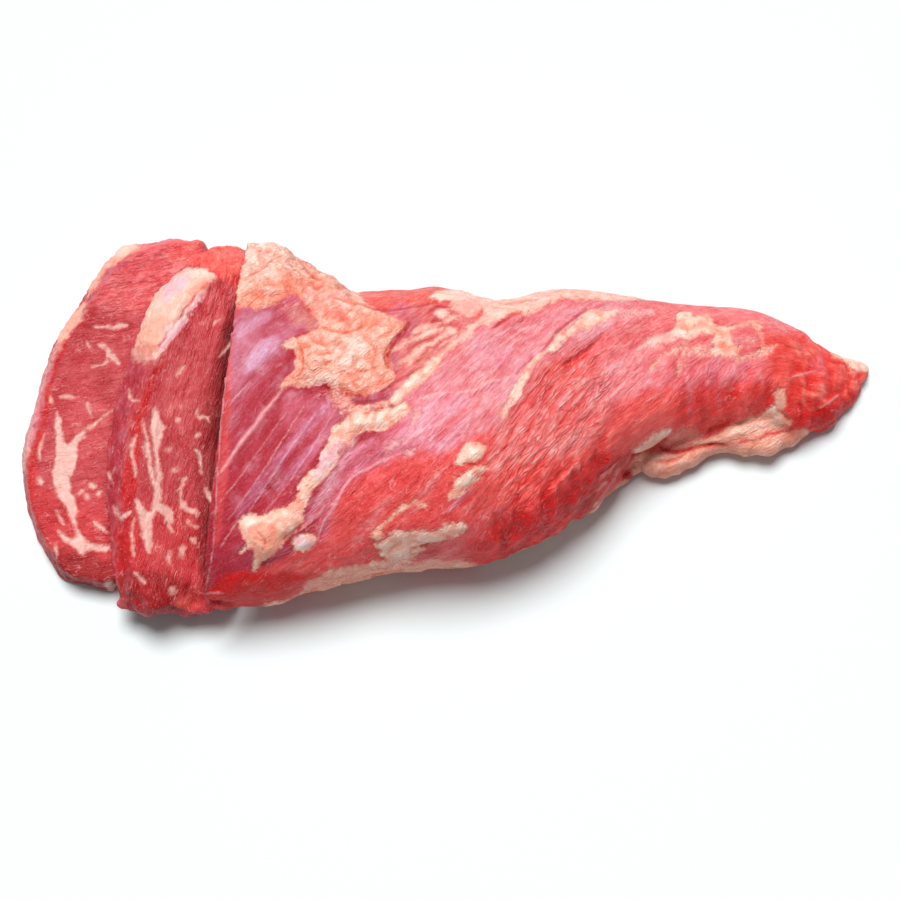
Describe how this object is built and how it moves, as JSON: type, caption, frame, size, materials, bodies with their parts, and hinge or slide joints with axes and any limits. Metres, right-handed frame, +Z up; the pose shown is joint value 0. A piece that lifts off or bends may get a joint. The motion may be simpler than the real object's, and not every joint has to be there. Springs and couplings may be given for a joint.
{
  "type": "raw sliced tri-tip",
  "caption": "Raw beef tri-tip, a tapered bent-triangle roast with a fat cap, its broad end cut into thick slices that have slumped over like shingles.",
  "frame": {"origin": "on the surface it lies on, below the middle of the whole", "axes": "+X from the slices towards the thin tip, +Y from the near long edge to the far one, +Z up"},
  "size_m": [0.3042, 0.145, 0.0562],
  "materials": {
    "main_piece": "moist raw beef with cream fat and silver skin",
    "inner_slice": "moist cut beef with pale marbling",
    "outer_slice": "moist cut beef with pale marbling"
  },
  "bodies": {
    "root": {"main_piece": "main_piece", "inner_slice": "inner_slice", "outer_slice": "outer_slice"}
  },
  "joints": []
}
